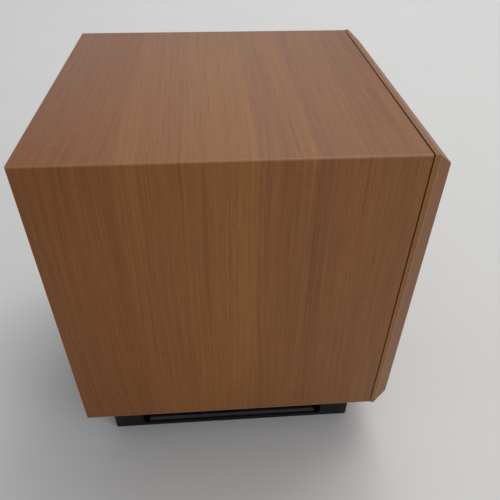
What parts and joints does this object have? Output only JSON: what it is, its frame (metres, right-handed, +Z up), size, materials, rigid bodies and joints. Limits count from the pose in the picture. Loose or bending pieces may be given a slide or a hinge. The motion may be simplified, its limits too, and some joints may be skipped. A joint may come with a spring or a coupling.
{
  "type": "subwoofer",
  "caption": "Cube-shaped powered subwoofer: veneered cabinet with a chamfered front board on a slotted black plinth, driver firing down, amplifier plate at the back.",
  "frame": {"origin": "centre of the footprint of the whole object, on the floor", "axes": "+Z up, front panel towards -Y, amplifier plate towards +Y"},
  "size_m": [0.321, 0.358, 0.3715],
  "materials": {
    "cherry_veneer": "satin lacquer",
    "panel_veneer": "satin lacquer",
    "back_black": "matt black foil",
    "raw_board": "raw fibreboard",
    "plinth_black": "satin black paint",
    "bead_black": "semi-gloss black",
    "wadding": "soft polyester wadding",
    "foot_rubber": "matt",
    "surround_rubber": "satin",
    "seal_foam": "fine foam",
    "seat_card": "black card",
    "basket_black": "textured black powder coat",
    "screw_black": "black oxide",
    "screw_zinc": "zinc",
    "cone_paper": "coated paper pulp",
    "cap_paper": "coated paper pulp",
    "former_alloy": "foil",
    "coil_copper": "enamelled copper",
    "spider_cloth": "resin-dipped cotton",
    "plate_zinc": "zinc plated",
    "ferrite": "sintered ferrite",
    "terminal_fibre": "fibre strip",
    "braid": "braided copper",
    "amp_black": "textured black powder coat",
    "sink_black": "black anodised",
    "board_green": "solder mask",
    "device_black": "moulded epoxy",
    "can_sleeve": "shrink sleeve",
    "toroid_wrap": "polyester tape over copper",
    "clamp_steel": "zinc",
    "knob_black": "soft black",
    "pot_steel": "tinned",
    "switch_black": "moulded nylon",
    "lever_black": "moulded nylon",
    "lens_green": "diffused lens",
    "socket_nickel": "nickel plated",
    "socket_insert": "moulded",
    "pin_brass": "nickel plated brass",
    "cap_black": "gloss black",
    "lead_red": "pvc sheath"
  },
  "bodies": {
    "cabinet": {"top_board": "cherry_veneer", "bottom_board": "cherry_veneer", "left_board": "cherry_veneer", "right_board": "cherry_veneer", "back_board": "back_black", "baffle_board": "raw_board", "front_panel": "panel_veneer", "front_panel_screws": "screw_zinc", "cross_brace": "raw_board", "corner_battens": "raw_board", "damping_wadding": "wadding", "plinth_front": "plinth_black", "plinth_right": "plinth_black", "plinth_rear": "plinth_black", "plinth_left": "plinth_black", "slot_beads": "bead_black", "plinth_blocks": "raw_board", "plinth_screws": "screw_zinc", "rubber_feet": "foot_rubber", "driver_frame": "basket_black", "driver_gasket": "seal_foam", "driver_screws": "screw_black", "surround": "surround_rubber", "surround_seat": "seat_card", "spider": "spider_cloth", "top_plate": "plate_zinc", "magnet": "ferrite", "back_plate": "plate_zinc", "driver_terminals": "terminal_fibre", "tinsel_leads": "braid", "amp_plate": "amp_black", "amp_gasket": "seal_foam", "amp_screws": "screw_black", "heat_sink": "sink_black", "circuit_board": "board_green", "output_transistors": "device_black", "filter_capacitors": "can_sleeve", "power_transformer": "toroid_wrap", "transformer_clamp": "clamp_steel", "control_pots": "pot_steel", "slide_switches": "switch_black", "status_lens": "lens_green", "line_sockets": "socket_nickel", "socket_inserts": "socket_insert", "mains_inlet": "switch_black", "inlet_pins": "pin_brass", "fuse_holder": "switch_black", "rocker_frame": "switch_black", "driver_lead": "lead_red"},
    "cone_assembly": {"cone": "cone_paper", "dust_cap": "cap_paper", "coil_former": "former_alloy", "voice_coil": "coil_copper"},
    "level_knob": {"level_knob": "knob_black"},
    "crossover_knob": {"crossover_knob": "knob_black"},
    "phase_lever": {"phase_lever": "lever_black"},
    "auto_lever": {"auto_lever": "lever_black"},
    "power_rocker": {"power_rocker": "cap_black"},
    "fuse_cap": {"fuse_cap": "cap_black"}
  },
  "joints": [
    {"name": "cone_travel", "type": "slide", "parent": "cabinet", "child": "cone_assembly", "axis": [0, 0, 1], "range_m": [-0.006, 0.006], "stiffness_N_per_m": 2900, "deforming": ["surround", "spider", "tinsel_leads"]},
    {"name": "level_turn", "type": "hinge", "parent": "cabinet", "child": "level_knob", "pos_m": [-0.052, 0.163, 0.219], "axis": [0, 1, 0], "range_deg": [-150, 150]},
    {"name": "crossover_turn", "type": "hinge", "parent": "cabinet", "child": "crossover_knob", "pos_m": [-0.014, 0.163, 0.219], "axis": [0, 1, 0], "range_deg": [-150, 150]},
    {"name": "phase_slide", "type": "slide", "parent": "cabinet", "child": "phase_lever", "axis": [1, 0, 0], "range_m": [0, 0.004]},
    {"name": "auto_slide", "type": "slide", "parent": "cabinet", "child": "auto_lever", "axis": [1, 0, 0], "range_m": [0, 0.004]},
    {"name": "power_rock", "type": "hinge", "parent": "cabinet", "child": "power_rocker", "pos_m": [-0.05, 0.159, 0.133], "axis": [1, 0, 0], "range_deg": [0, 14]},
    {"name": "fuse_turn", "type": "hinge", "parent": "cabinet", "child": "fuse_cap", "pos_m": [0.002, 0.163, 0.133], "axis": [0, 1, 0], "range_deg": [0, 90]}
  ]
}
